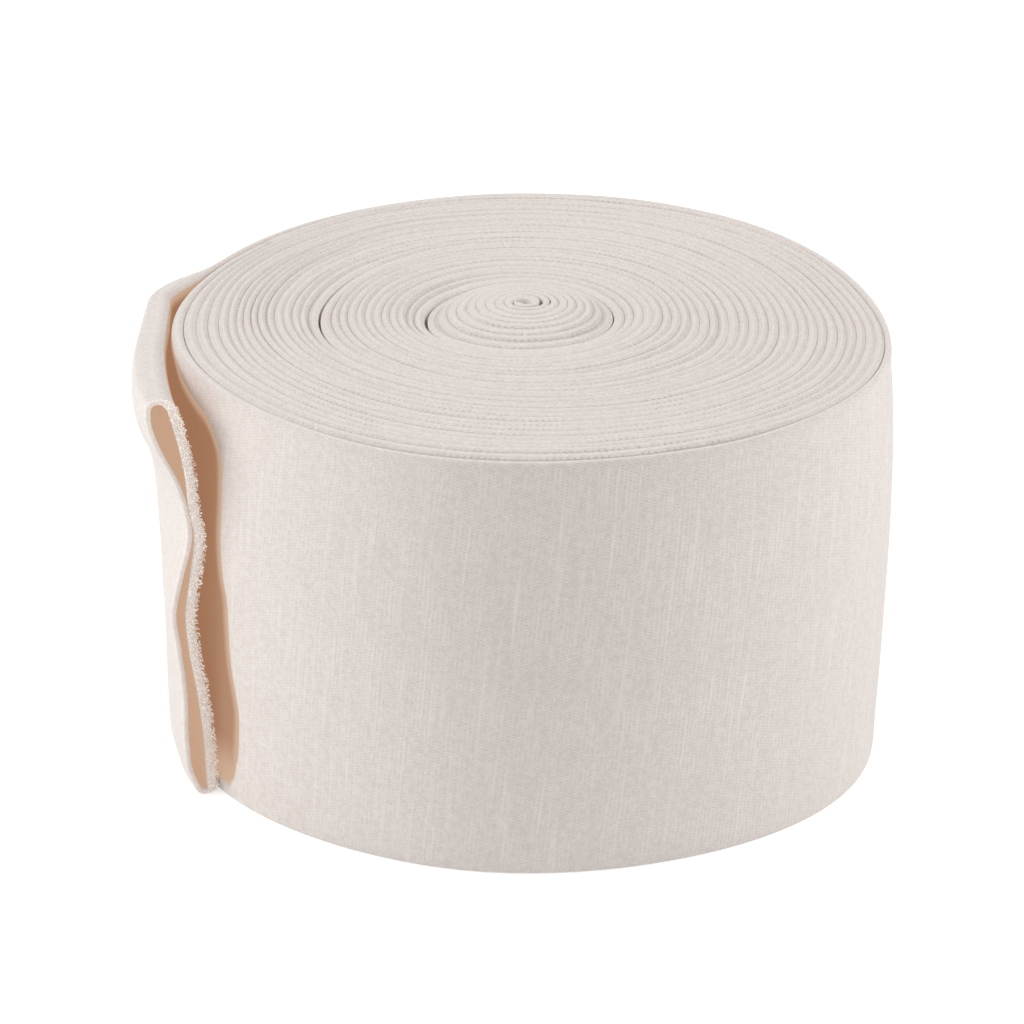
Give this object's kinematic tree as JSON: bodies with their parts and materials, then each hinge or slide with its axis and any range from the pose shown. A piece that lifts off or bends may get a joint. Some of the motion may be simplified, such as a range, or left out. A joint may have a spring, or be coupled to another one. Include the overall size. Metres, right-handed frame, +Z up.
{
  "type": "tubular bandage roll",
  "caption": "Upright roll of flattened elastic tubular bandage with its loose end standing off the side and the cut mouth of the tube gaping.",
  "frame": {"origin": "where the axis of the winding meets the surface that the roll stands on", "axes": "+Z up along the winding axis, +X to the right and +Y away from the viewer when the loose end is at the left"},
  "size_m": [0.1706, 0.1685, 0.1031],
  "materials": {
    "knit_cloth": "matte ribbed knit of undyed cotton and elastic yarn"
  },
  "bodies": {
    "root": {"wound_roll": "knit_cloth", "loose_end": "knit_cloth"}
  },
  "joints": []
}
